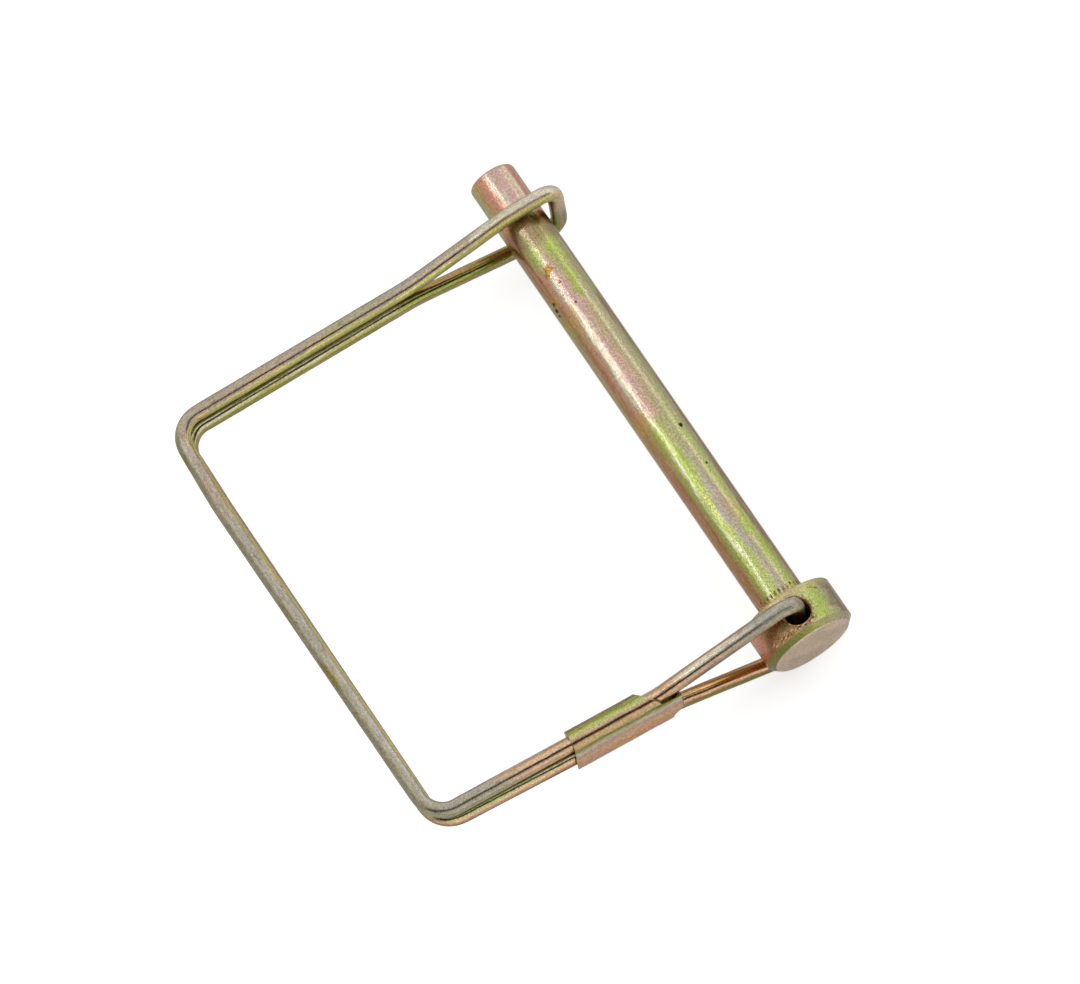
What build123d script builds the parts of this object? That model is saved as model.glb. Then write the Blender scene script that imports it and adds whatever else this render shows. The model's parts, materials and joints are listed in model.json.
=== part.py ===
from build123d import *
import math
import os

# Hitch pin lock: a 1/4 in steel pin with a pressed-on collar, held by a square bail of spring wire.
# Frame, in mm: origin at the centre of the head's shoulder, +Y along the shank to its tip,
# +Z along the cross hole that the bail turns in. The latched bail lies on the -X side.

# Shank: a plain round pin that sits in a shallow register in the head, with a reduced spigot pressed in
shank_d = 6.35
shank_len = 67.9
tip_edge = 0.7
register_depth = 0.15
spigot_d = 6.0
spigot_len = 4.9
spigot_edge = 0.3

# Knurl run-out: a ring of short axial nicks on the shank just clear of the shoulder
nick_count = 33
nick_r = 0.13
nick_depth = 0.08
nick_start = 0.85
nick_end = 1.6

# Head: a collar with a blind seat for the spigot and a cross hole for the wire
head_d = 12.2
head_len = 6.1
shoulder_edge = 0.3
face_chamfer_axial = 0.78
face_chamfer_radial = 0.85
cross_hole_d = 3.4
cross_hole_y = -2.95
cross_hole_mouth = 0.15

# Spring wire: two strands, front (+Z) and rear (-Z), run side by side round the square
wire_d = 2.1
strand_z = 1.07
corner_r = 3.5
fork_r = 6.0
ferrule_bend_r = 20.0
bow_r = 60.0
loop_bend_r = 12.0

# Lower arm: from the cross hole, down the fork, through the ferrule, to the lower outer corner.
# A stagger is how far the front strand lies outside the rear one, in the plane of the square.
hook_x = 0.25
hook_apex_z = 9.2
hook_r = 2.0
wire_end_z = 1.0
fork_x = -19.5
ferrule_near_x = -17.2
ferrule_far_x = -32.1
lower_slope_in = -0.068
lower_slope_out = -0.081
hook_stagger = 0.9
ferrule_stagger = 1.0
low_corner_stagger = 0.66

# Outer arm: each strand's x at the lower corner, at its widest and at the upper corner
front_arm_x = (-50.83, -51.33, -50.75)
rear_arm_x = (-50.6, -50.8, -50.6)
bow_y = 50.0

# Upper arm and loop: from the upper outer corner, over the shank and back behind it
upper_y = 60.51
upper_slope = -0.028
loop_stagger = 0.91
loop_split_x = -16.3
loop_shoulder_x = -1.5
loop_z = 5.2
loop_front_x = 5.12
loop_rear_x = 4.62
loop_front_r = 2.1
loop_rear_r = 2.45

# Latch: the wire square flexes open about its upper outer corner
latch_cut_x = -46.5
latch_gap = 0.05

# Ferrule: sheet steel folded round both strands and pressed flat, its ends cut on the skew.
# Each point of a cut is an x and a height above the middle of the ferrule.
ferrule_t = 0.65
seam_w = 0.2
seam_rise = 0.3
far_cut = [(-32.4, -1.8), (-31.75, -0.35), (-31.65, 1.0)]
near_cut = [(-21.8, 1.6), (-20.2, -0.45), (-19.6, -1.4), (-17.0, -1.5), (-17.4, -2.5)]
corner_cut = 1.5

shank_r = shank_d / 2
head_r = head_d / 2
wire_r = wire_d / 2


def turned(radius, length, start, edge=0.0):
    """A solid cylinder along +Y from start, with its far edge rounded."""
    base = Plane(origin=(0, start, 0), z_dir=(0, 1, 0))
    body = extrude(base * Circle(radius), amount=length)
    if edge > 0:
        body = fillet(body.edges().sort_by(Axis.Y)[-1], edge)
    return body


def cross_hole():
    """The hole along Z through head and spigot, with its mouths broken."""
    hole = Cylinder(cross_hole_d / 2, head_d * 1.5)
    depth = head_d
    mouth_r = cross_hole_d / 2 + depth
    flare = Cone(cross_hole_d / 2, mouth_r, depth, align=(Align.CENTER, Align.CENTER, Align.MIN))
    start = math.sqrt(head_r**2 - (cross_hole_d / 2) ** 2) - cross_hole_mouth
    top = Pos(0, 0, start) * flare
    bottom = Rot(180, 0, 0) * top
    return Pos(0, cross_hole_y, 0) * (hole + top + bottom)


def make_shank():
    shank = turned(shank_r, shank_len + register_depth, -register_depth, tip_edge)
    spigot = turned(spigot_d / 2, spigot_len - register_depth, -spigot_len)
    spigot = chamfer(spigot.edges().sort_by(Axis.Y)[0], spigot_edge)
    body = shank + spigot
    body -= Pos(0, cross_hole_y, 0) * Cylinder(cross_hole_d / 2, head_d)
    nick_centre = shank_r + nick_r - nick_depth
    nick = Pos(0, 0, nick_centre) * turned(nick_r, nick_end - nick_start, nick_start)
    nicks = [nick.rotate(Axis.Y, turn * 360 / nick_count) for turn in range(nick_count)]
    return body - nicks


def make_head():
    body = turned(head_r, head_len, -head_len, shoulder_edge)
    rim = body.edges().sort_by(Axis.Y)[0]
    end_face = body.faces().sort_by(Axis.Y)[0]
    body = chamfer(rim, length=face_chamfer_radial, length2=face_chamfer_axial, reference=end_face)
    seat = turned(spigot_d / 2, spigot_len, -spigot_len)
    register = turned(shank_r, register_depth, -register_depth)
    return body - seat - register - cross_hole()


def lower_y(x, side, stagger):
    """Height of a strand's axis on the lower arm; side is +1 for the front strand, -1 for the rear."""
    inner = lower_slope_in * max(x, ferrule_far_x)
    outer = lower_slope_out * min(x - ferrule_far_x, 0)
    return cross_hole_y + inner + outer + side * stagger / 2


def upper_y_at(x, side):
    """Height of a strand's axis on the upper arm."""
    return upper_y + upper_slope * x - (1 - side) / 2 * loop_stagger


def bail_points(side):
    """Corners of one strand, from its end in the cross hole to the cut in the upper arm."""
    z = side * strand_z
    low_x, bow_x, high_x = front_arm_x if side > 0 else rear_arm_x
    hook_y = lower_y(hook_x, side, hook_stagger)
    return [
        (hook_x, hook_y, side * wire_end_z),
        (hook_x, hook_y, side * hook_apex_z),
        (fork_x, lower_y(fork_x, side, ferrule_stagger), z),
        (ferrule_far_x, lower_y(ferrule_far_x, side, ferrule_stagger), z),
        (low_x, lower_y(low_x, side, low_corner_stagger), z),
        (bow_x, bow_y, z),
        (high_x, upper_y_at(high_x, side), z),
        (latch_cut_x, upper_y_at(latch_cut_x, side), z),
    ]


bail_radii = [hook_r, fork_r, ferrule_bend_r, corner_r, bow_r, corner_r]


def latch_points(side):
    """Corners of one strand, from the cut in the upper arm to the end of the loop."""
    z = side * strand_z
    start_x = latch_cut_x + latch_gap
    end_x = loop_front_x if side > 0 else loop_rear_x
    return [
        (start_x, upper_y_at(start_x, side), z),
        (loop_split_x, upper_y_at(loop_split_x, side), z),
        (loop_shoulder_x, upper_y_at(loop_shoulder_x, side), side * loop_z),
        (end_x, upper_y_at(end_x, side), side * loop_z),
    ]


def wire(points, radii):
    """Round wire along straight runs joined by arcs."""
    path = FilletPolyline(*points, radius=radii)
    section = Plane(origin=path @ 0, z_dir=path % 0) * Circle(wire_r)
    body = sweep(section, path=path)
    print(f"wire length {path.length:.1f}, volume ratio {body.volume / (math.pi * wire_r**2 * path.length):.4f}")
    return body


def make_bail():
    return Compound(children=[wire(bail_points(side), bail_radii) for side in (1, -1)])


def make_latch():
    points = latch_points(1) + latch_points(-1)[::-1]
    bends = [loop_bend_r, loop_bend_r]
    return wire(points, [*bends, loop_front_r, loop_rear_r, *bends])


def make_ferrule(bail):
    """A flattened tube round both strands, its seam at the back and its ends trimmed on the skew.

    The strands part inside its near end, so they are cut out of its walls.
    """
    near = Vector(ferrule_near_x, lower_y(ferrule_near_x, 0, 0), 0)
    far = Vector(ferrule_far_x, lower_y(ferrule_far_x, 0, 0), 0)
    along = (near - far).normalized()
    margin = 1.0
    start = far - along * margin
    section = Plane(origin=start, z_dir=along, x_dir=(0, 0, 1))
    spread = math.hypot(ferrule_stagger, 2 * strand_z)
    tilt = section.to_local_coords(start + Vector(0, ferrule_stagger, 2 * strand_z))
    across = math.degrees(math.atan2(tilt.Y, tilt.X))
    outer = section * Rot(0, 0, across) * SlotCenterToCenter(spread, wire_d + 2 * ferrule_t)
    inner = section * Rot(0, 0, across) * SlotCenterToCenter(spread, wire_d)
    length = (near - far).length + 2 * margin
    tube = extrude(outer, amount=length) - extrude(inner, amount=length)
    mid_y = (near.Y + far.Y) / 2
    half = wire_d + 2 * ferrule_t
    outline = [(far_cut[0][0], -half), *far_cut, (far_cut[-1][0], half)]
    outline += [(near_cut[0][0], half), *near_cut, (near_cut[-1][0] - corner_cut, -half)]
    plan = Polyline([(x, mid_y + rise) for x, rise in outline], close=True)
    trim = extrude(Pos(0, 0, -half) * make_face(plan), amount=2 * half)
    seam = Pos((near.X + far.X) / 2, mid_y + seam_rise, -half) * Box(length, seam_w, half)
    return (tube & trim) - seam - bail


os.makedirs("parts", exist_ok=True)
bail = make_bail()
nodes = {
    "pin_shank": make_shank(),
    "pin_head": make_head(),
    "bail_wire": bail,
    "latch_wire": make_latch(),
    "wire_ferrule": make_ferrule(bail),
}
for name, shape in nodes.items():
    export_step(shape, f"parts/{name}.step")
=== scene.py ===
import json
import math

import bpy
import numpy as np
from mathutils import Matrix, Vector, noise


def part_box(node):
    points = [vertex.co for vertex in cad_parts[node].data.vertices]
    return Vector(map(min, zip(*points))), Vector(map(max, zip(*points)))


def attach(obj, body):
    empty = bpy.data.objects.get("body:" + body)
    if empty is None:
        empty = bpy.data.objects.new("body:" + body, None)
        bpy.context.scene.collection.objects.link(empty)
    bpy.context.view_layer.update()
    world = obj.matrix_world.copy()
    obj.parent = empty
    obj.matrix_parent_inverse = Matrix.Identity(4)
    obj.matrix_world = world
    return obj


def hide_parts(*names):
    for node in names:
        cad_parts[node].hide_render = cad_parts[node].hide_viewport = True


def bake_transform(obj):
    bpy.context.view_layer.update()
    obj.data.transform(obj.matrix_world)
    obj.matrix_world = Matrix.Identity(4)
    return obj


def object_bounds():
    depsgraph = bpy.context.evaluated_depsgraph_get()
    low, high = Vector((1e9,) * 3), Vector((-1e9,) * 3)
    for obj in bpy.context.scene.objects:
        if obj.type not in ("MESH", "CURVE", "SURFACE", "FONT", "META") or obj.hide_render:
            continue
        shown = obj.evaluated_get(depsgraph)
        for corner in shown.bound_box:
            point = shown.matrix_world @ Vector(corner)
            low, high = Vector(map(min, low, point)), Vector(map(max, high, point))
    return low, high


# A hitch pin lock in yellow zinc plate, lying on a pale floor. Lengths in this file are in mm and are
# turned to metres where a mesh, a light or the camera is made.
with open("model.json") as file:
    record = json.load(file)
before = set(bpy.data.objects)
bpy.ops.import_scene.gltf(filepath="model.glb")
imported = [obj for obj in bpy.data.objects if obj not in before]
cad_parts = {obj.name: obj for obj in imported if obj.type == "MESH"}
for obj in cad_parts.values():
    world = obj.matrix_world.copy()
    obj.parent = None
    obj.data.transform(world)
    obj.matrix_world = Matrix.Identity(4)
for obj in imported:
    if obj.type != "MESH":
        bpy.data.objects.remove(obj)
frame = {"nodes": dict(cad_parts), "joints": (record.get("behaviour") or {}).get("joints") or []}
cad_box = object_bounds()
MM = 0.001


def node_box(name):
    """Lowest and highest corner of a CAD node, in mm."""
    low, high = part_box(name)
    return low / MM, high / MM


head_low, head_high = node_box("pin_head")
head_r = head_high.x
head_end_y = head_low.y
tip_y = node_box("pin_shank")[1].y
floor_z = cad_box[0].z / MM
hole_y = next(j for j in frame["joints"] if j["name"] == "bail_swing")["pos_m"][1] / MM

# ---------------------------------------------------------------- camera

VIEW_TILT = math.radians(17.16)
VIEW_YAW = math.radians(6.22)
VIEW_TURN = math.radians(34.27)
AIM_ACROSS = -17.09
AIM_UP = 28.72
CAMERA_DISTANCE = 1039.9
LENS = 281.4
SENSOR_WIDTH = 36.0
NEAREST = 0.01
FARTHEST = 20.0

to_camera = Vector((
    -math.sin(VIEW_YAW) * math.cos(VIEW_TILT),
    -math.sin(VIEW_TILT),
    math.cos(VIEW_YAW) * math.cos(VIEW_TILT),
))


def make_camera():
    """The photo's camera: a long lens, tilted, turned and rolled as it was."""
    upright = (Vector((0, 1, 0)) - to_camera.y * to_camera).normalized()
    across = upright.cross(to_camera)
    aim = AIM_ACROSS * across + AIM_UP * upright
    right = math.cos(VIEW_TURN) * across - math.sin(VIEW_TURN) * upright
    up = math.sin(VIEW_TURN) * across + math.cos(VIEW_TURN) * upright
    data = bpy.data.cameras.new("camera")
    data.lens = LENS
    data.sensor_width = SENSOR_WIDTH
    data.clip_start = NEAREST
    data.clip_end = FARTHEST
    camera = bpy.data.objects.new("camera", data)
    pose = Matrix((right, up, to_camera)).transposed().to_4x4()
    pose.translation = (aim + CAMERA_DISTANCE * to_camera) * MM
    camera.matrix_world = pose
    bpy.context.scene.collection.objects.link(camera)
    bpy.context.scene.camera = camera


# ---------------------------------------------------------------- mesh helpers

def mesh_object(name, points, faces, smooth=True):
    """A mesh piece from points in mm."""
    mesh = bpy.data.meshes.new(name)
    mesh.from_pydata([tuple(float(c) * MM for c in p) for p in points], [], faces)
    mesh.polygons.foreach_set("use_smooth", [smooth] * len(mesh.polygons))
    mesh.update()
    piece = bpy.data.objects.new(name, mesh)
    bpy.context.scene.collection.objects.link(piece)
    return piece


def store(piece, name, vectors):
    """Keeps a vector for each vertex, for the piece's material to read."""
    layer = piece.data.attributes.new(name, "FLOAT_VECTOR", "POINT")
    layer.data.foreach_set("vector", np.asarray(vectors, np.float32).ravel())


def grid_faces(rows, columns, closed_columns=True, closed_rows=False):
    """Quads of a grid of points that is stored row by row."""
    faces = []
    for i in range(rows if closed_rows else rows - 1):
        for j in range(columns if closed_columns else columns - 1):
            k = (i + 1) % rows
            m = (j + 1) % columns
            faces.append((i * columns + j, i * columns + m, k * columns + m, k * columns + j))
    return faces


# ---------------------------------------------------------------- spring wire

WIRE_R = 1.05
STRAND_Z = 1.07
CORNER_R = 3.5
FORK_R = 6.0
FERRULE_BEND_R = 20.0
BOW_R = 60.0
LOOP_BEND_R = 12.0

HOOK_X = 0.25
HOOK_APEX_Z = 9.2
HOOK_R = 2.0
WIRE_END_Z = 1.0
FORK_X = -19.5
FERRULE_NEAR_X = -17.2
FERRULE_FAR_X = -32.1
LOWER_SLOPE_IN = -0.068
LOWER_SLOPE_OUT = -0.081
HOOK_STAGGER = 0.9
FERRULE_STAGGER = 1.0
LOW_CORNER_STAGGER = 0.66

FRONT_ARM_X = (-50.83, -51.33, -50.75)
REAR_ARM_X = (-50.6, -50.8, -50.6)
BOW_Y = 50.0

UPPER_Y = 60.51
UPPER_SLOPE = -0.028
LOOP_STAGGER = 0.91
LOOP_SPLIT_X = -16.3
LOOP_SHOULDER_X = -1.5
LOOP_Z = 5.2
LOOP_FRONT_X = 5.12
LOOP_REAR_X = 4.62
LOOP_FRONT_R = 2.1
LOOP_REAR_R = 2.45

WIRE_LENGTH = 354.4
RING_STEP = 0.25
RING_SIDES = 40
LINE_STEP = RING_STEP / 4

# How the wire departs from a round bar: narrower at its sheared ends, flattened in its bends (by a
# share of its radius for each unit of curvature, up to a most), wavy and dented.
END_TAPER = 0.5
END_TRIM = 0.22
BEND_SQUEEZE = 0.12
MOST_SQUEEZE = 0.06
WAVE = 0.010
DENT = 0.008


def lower_y(x, side, stagger):
    """Height of a strand's axis on the lower arm; side is 1 for the front strand, -1 for the rear."""
    inner = LOWER_SLOPE_IN * max(x, FERRULE_FAR_X)
    outer = LOWER_SLOPE_OUT * min(x - FERRULE_FAR_X, 0)
    return hole_y + inner + outer + side * stagger / 2


def upper_y_at(x, side):
    """Height of a strand's axis on the upper arm."""
    return UPPER_Y + UPPER_SLOPE * x - (1 - side) / 2 * LOOP_STAGGER


def strand_corners(side):
    """Corners of one strand's axis and their radii, from the cross hole to the end of the loop."""
    z = side * STRAND_Z
    low_x, bow_x, high_x = FRONT_ARM_X if side > 0 else REAR_ARM_X
    end_x = LOOP_FRONT_X if side > 0 else LOOP_REAR_X
    hook_y = lower_y(HOOK_X, side, HOOK_STAGGER)
    end_r = LOOP_FRONT_R if side > 0 else LOOP_REAR_R
    return [
        ((HOOK_X, hook_y, side * WIRE_END_Z), 0),
        ((HOOK_X, hook_y, side * HOOK_APEX_Z), HOOK_R),
        ((FORK_X, lower_y(FORK_X, side, FERRULE_STAGGER), z), FORK_R),
        ((FERRULE_FAR_X, lower_y(FERRULE_FAR_X, side, FERRULE_STAGGER), z), FERRULE_BEND_R),
        ((low_x, lower_y(low_x, side, LOW_CORNER_STAGGER), z), CORNER_R),
        ((bow_x, BOW_Y, z), BOW_R),
        ((high_x, upper_y_at(high_x, side), z), CORNER_R),
        ((LOOP_SPLIT_X, upper_y_at(LOOP_SPLIT_X, side), z), LOOP_BEND_R),
        ((LOOP_SHOULDER_X, upper_y_at(LOOP_SHOULDER_X, side), side * LOOP_Z), LOOP_BEND_R),
        ((end_x, upper_y_at(end_x, side), side * LOOP_Z), end_r),
    ]


def bent_line(corners, step):
    """Points along straight runs joined by arcs, as bent wire lies."""
    line = [np.array(corners[0][0], float)]
    for (before, _), (corner, radius), (after, _) in zip(corners, corners[1:], corners[2:]):
        corner = np.array(corner, float)
        back = np.array(before, float) - corner
        on = np.array(after, float) - corner
        back /= np.linalg.norm(back)
        on /= np.linalg.norm(on)
        half = math.acos(max(-1.0, min(1.0, float(back @ on)))) / 2
        centre = corner + (back + on) / np.linalg.norm(back + on) * radius / math.sin(half)
        first = corner + back * radius / math.tan(half) - centre
        last = corner + on * radius / math.tan(half) - centre
        turn = math.pi - 2 * half
        count = max(2, math.ceil(turn * radius / step))
        for i in range(count + 1):
            share = i / count
            arc = (math.sin((1 - share) * turn) * first + math.sin(share * turn) * last) / math.sin(turn)
            line.append(centre + arc)
    line.append(np.array(corners[-1][0], float))
    return np.array(line)


def evenly(line, step):
    """The same line with its points evenly spaced."""
    run = np.r_[0, np.cumsum(np.linalg.norm(np.diff(line, axis=0), axis=1))]
    places = np.linspace(0, run[-1], round(run[-1] / step) + 1)
    return np.stack([np.interp(places, run, line[:, i]) for i in range(3)], axis=1), places


def make_wire():
    """The whole spring wire: one length, bent into two strands, tapered a little at its sheared ends."""
    corners = strand_corners(1) + strand_corners(-1)[::-1]
    line, run = evenly(bent_line(corners, LINE_STEP), RING_STEP)
    ahead = np.gradient(line, axis=0)
    ahead /= np.linalg.norm(ahead, axis=1)[:, None]
    bend = np.gradient(ahead, axis=0) / RING_STEP
    side = np.array([1.0, 0.0, 0.0])
    points, places = [], []
    for i in range(len(line)):
        side = side - ahead[i] * (side @ ahead[i])
        side /= np.linalg.norm(side)
        out = np.cross(side, ahead[i])
        curvature = float(np.linalg.norm(bend[i]))
        inward = bend[i] / curvature if curvature > 1e-9 else side
        squeeze = min(MOST_SQUEEZE, BEND_SQUEEZE * curvature)
        from_end = min(run[i], run[-1] - run[i])
        trim = 1 - END_TRIM * max(0.0, 1 - from_end / END_TAPER) ** 2
        for j in range(RING_SIDES):
            angle = 2 * math.pi * j / RING_SIDES
            spoke = math.cos(angle) * side + math.sin(angle) * out
            wave = noise.noise(Vector(spoke * 0.6) + Vector((0, 0, run[i] * 0.35)))
            dent = noise.noise(Vector(spoke * 1.6) + Vector((0, 0, run[i] * 1.3 + 40)))
            radius = WIRE_R * trim * (1 + WAVE * wave + DENT * dent)
            radius *= 1 - squeeze * abs(float(spoke @ inward)) ** 2
            points.append(line[i] + spoke * radius)
            places.append((math.cos(angle) * WIRE_R, math.sin(angle) * WIRE_R, run[i]))
    faces = grid_faces(len(line), RING_SIDES)
    faces.append(tuple(range(RING_SIDES)))
    faces.append(tuple(len(points) - 1 - j for j in range(RING_SIDES)))
    wire = mesh_object("spring_wire", points, faces)
    store(wire, "lie", places)
    return wire


# ---------------------------------------------------------------- ferrule

SHEET_T = 0.65
SEAM_GAP = 0.2
SEAM_TURN = math.radians(233)
# The skew cuts of its ends, as (height above the ferrule's axis, x).
FAR_CUT = [(-2.2, -32.4), (-0.85, -31.8), (0.5, -31.65), (2.2, -31.65)]
COVER_CUT = [(-1.1, -19.6), (-0.15, -20.2), (1.77, -21.8), (2.2, -21.9)]
FACET_CUT = [(-2.2, -18.9), (-1.9, -17.35), (-1.0, -17.0)]
BACK_CUT = [(-2.2, -18.9), (2.2, -21.9)]

# Its rolled ends, the pressed crease between cover and facet, the room left round the strands, the
# lumps in its skin and the rounding beside the seam.
LIP = 0.13
CREASE_DEPTH = 0.05
CREASE_WIDTH = 0.16
CREASE_SHIFT = 0.1
SKIN_GAP = 0.02
LUMP = 0.035
SEAM_ROUND = 0.1
SEAM_ROUND_POINTS = 1.5

# How finely the sheet is divided: round it, along it and over its rolled lips.
REAR_END_POINTS = 8
COVER_POINTS = 34
REAR_POINTS = 26
BACK_STEPS = 16
FACET_STEPS = 18
FACET_START = 0.004
LONG_STEPS = 60
LIP_STEPS = [0.0, 0.3, 0.65, 1.0]


def arc_points(centre, radius, start, end, count):
    """Points on an arc, both of its ends among them."""
    angles = np.linspace(start, end, count)
    return [centre + radius * np.array([math.cos(t), math.sin(t)]) for t in angles]


def straight_points(first, last, count):
    """Points that divide a line in so many parts, without its ends."""
    return [first + (last - first) * k / count for k in range(1, count)]


def cut_at(cut, rise):
    """Where a cut ends the sheet, at that height above the axis."""
    heights, xs = zip(*cut)
    return float(np.interp(rise, heights, xs))


def ferrule_section(radius):
    """(height, z) points round both strands: from the seam at the back, over the front strand, down the
    flat facet and round the rear strand to the seam again; then which point is the crease where the
    facet starts, and which is the first of the flat back."""
    front = np.array([FERRULE_STAGGER / 2, STRAND_Z])
    lean = math.atan2(front[1], front[0])
    quarter = math.pi / 2
    gap = SEAM_GAP / 2 / radius
    rear_end = arc_points(-front, radius, lean + SEAM_TURN + gap, lean + 3 * quarter, REAR_END_POINTS)
    cover = arc_points(front, radius, lean - quarter, lean + quarter, COVER_POINTS)
    rear = arc_points(-front, radius, lean + quarter, lean + SEAM_TURN - gap, REAR_POINTS)
    back = straight_points(rear_end[-1], cover[0], BACK_STEPS)
    facet = [cover[-1] + (rear[0] - cover[-1]) * FACET_START]
    facet += straight_points(cover[-1], rear[0], FACET_STEPS)
    section = np.array(rear_end + back + cover + facet + rear)
    return section, len(rear_end + back + cover) - 1, len(rear_end)


def make_ferrule():
    """A sheet folded round both strands, a round cover over the front one and a flat facet under it."""
    near_y = lower_y(FERRULE_NEAR_X, 0, 0)
    far_y = lower_y(FERRULE_FAR_X, 0, 0)
    slope = (near_y - far_y) / (FERRULE_NEAR_X - FERRULE_FAR_X)
    mid = ((FERRULE_NEAR_X + FERRULE_FAR_X) / 2, (near_y + far_y) / 2)
    outer, crease, back = ferrule_section(WIRE_R + SHEET_T)
    inner, _, _ = ferrule_section(WIRE_R + SKIN_GAP)
    run = np.r_[0, np.cumsum(np.linalg.norm(np.diff(outer, axis=0), axis=1))]
    around = run - run[crease]
    wall = (inner - outer) / np.linalg.norm(inner - outer, axis=1)[:, None]
    lip_rows = len(LIP_STEPS)
    rows, columns = LONG_STEPS + 2 * lip_rows - 1, len(outer)
    points, places = [], []

    def near_end(j, rise, z):
        """Where the near end is cut, at one point of the section."""
        if j < back or z < -STRAND_Z:
            return cut_at(BACK_CUT, rise)
        return cut_at(FACET_CUT if j > crease else COVER_CUT, rise)

    for skin, line in enumerate((outer, inner)):
        for k in range(rows):
            for j, (rise, z) in enumerate(line):
                far = cut_at(FAR_CUT, rise)
                near = near_end(j, rise, z)
                from_rim = min(k, rows - 1 - k)
                if from_rim < lip_rows:
                    roll = LIP_STEPS[from_rim] * math.pi / 2
                    inset = LIP * (1 - math.cos(roll))
                    x = far + inset if k < lip_rows else near - inset
                    sink = LIP * (1 - math.sin(roll))
                else:
                    x = far + LIP + (near - far - 2 * LIP) * (k - lip_rows + 1) / LONG_STEPS
                    sink = 0.0
                lump = LUMP * noise.noise(Vector((x * 0.35, around[j] * 0.5, skin * 9.0)))
                lump += CREASE_DEPTH * math.exp(-((around[j] - CREASE_SHIFT) / CREASE_WIDTH) ** 2)
                seam_edge = min(j, columns - 1 - j)
                sink += SEAM_ROUND * max(0.0, 1 - seam_edge / SEAM_ROUND_POINTS)
                push = (sink + (lump if skin == 0 else 0.0)) * (1 if skin == 0 else -1)
                y, z = np.array([rise, z]) + wall[j] * push
                points.append((x, mid[1] + slope * (x - mid[0]) + y, z))
                places.append((around[j], 0.0 if skin == 0 else SHEET_T, x))
    skin_faces = grid_faces(rows, columns, closed_columns=False)
    start = rows * columns
    faces = [face[::-1] for face in skin_faces]
    faces += [tuple(start + v for v in face) for face in skin_faces]
    for row, flip in ((0, False), (rows - 1, True)):
        for j in range(columns - 1):
            k = row * columns + j
            face = (k, k + 1, start + k + 1, start + k)
            faces.append(face[::-1] if flip else face)
    for column, flip in ((0, True), (columns - 1, False)):
        for i in range(rows - 1):
            k = i * columns + column
            face = (k, k + columns, start + k + columns, start + k)
            faces.append(face[::-1] if flip else face)
    ferrule = mesh_object("folded_ferrule", points, faces)
    store(ferrule, "lie", places)
    return ferrule


# ---------------------------------------------------------------- burrs on the head

# A rim's size: how far it stands proud and how wide it is at least, and by how much more where the
# metal is torn, which is most at TORN_TURN.
HOLE_R = 1.7
RIM_R = HOLE_R + 0.135
RIM_ROWS = 220
RIM_SIDES = 10
RIM_SINK = 0.03
LEAST_RISE = 0.02
MORE_RISE = 0.11
LEAST_WIDTH = 0.09
MORE_WIDTH = 0.07
TORN_TURN = 0.9

FLAKE_HEIGHT = 0.11
FLAKE_ROWS = 9
FLAKE_SIDES = 14
FLAKE_LUMP = 0.5
# Flakes of metal beside the front mouth: where each is (x, y), its length, width and lean.
FLAKES = [
    (-4.04, -4.78, 0.40, 0.20, 0.4), (-3.45, -4.62, 0.34, 0.17, -0.3), (-3.05, -4.90, 0.52, 0.27, 0.5),
    (-2.35, -4.78, 0.38, 0.18, 0.1), (-1.95, -5.00, 0.30, 0.20, 0.7), (-1.50, -4.88, 0.42, 0.17, 0.3),
    (-0.95, -4.98, 0.32, 0.18, -0.4), (-0.45, -4.90, 0.38, 0.15, 0.2), (0.35, -4.88, 0.28, 0.13, 0.6),
    (1.15, -4.62, 0.32, 0.14, -0.2), (-3.7, -4.2, 0.26, 0.12, 0.9), (-2.7, -4.25, 0.30, 0.12, -0.5),
    (-2.05, -4.35, 0.24, 0.12, 0.2), (-4.5, -4.55, 0.26, 0.14, 0.2), (-3.3, -3.75, 0.22, 0.10, 0.7),
]


def on_head(x, y, proud, side=1):
    """A point that stands proud of the head's round side."""
    turn = math.asin(x / head_r)
    radius = head_r + proud
    return np.array([radius * math.sin(turn), y, side * radius * math.cos(turn)])


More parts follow.
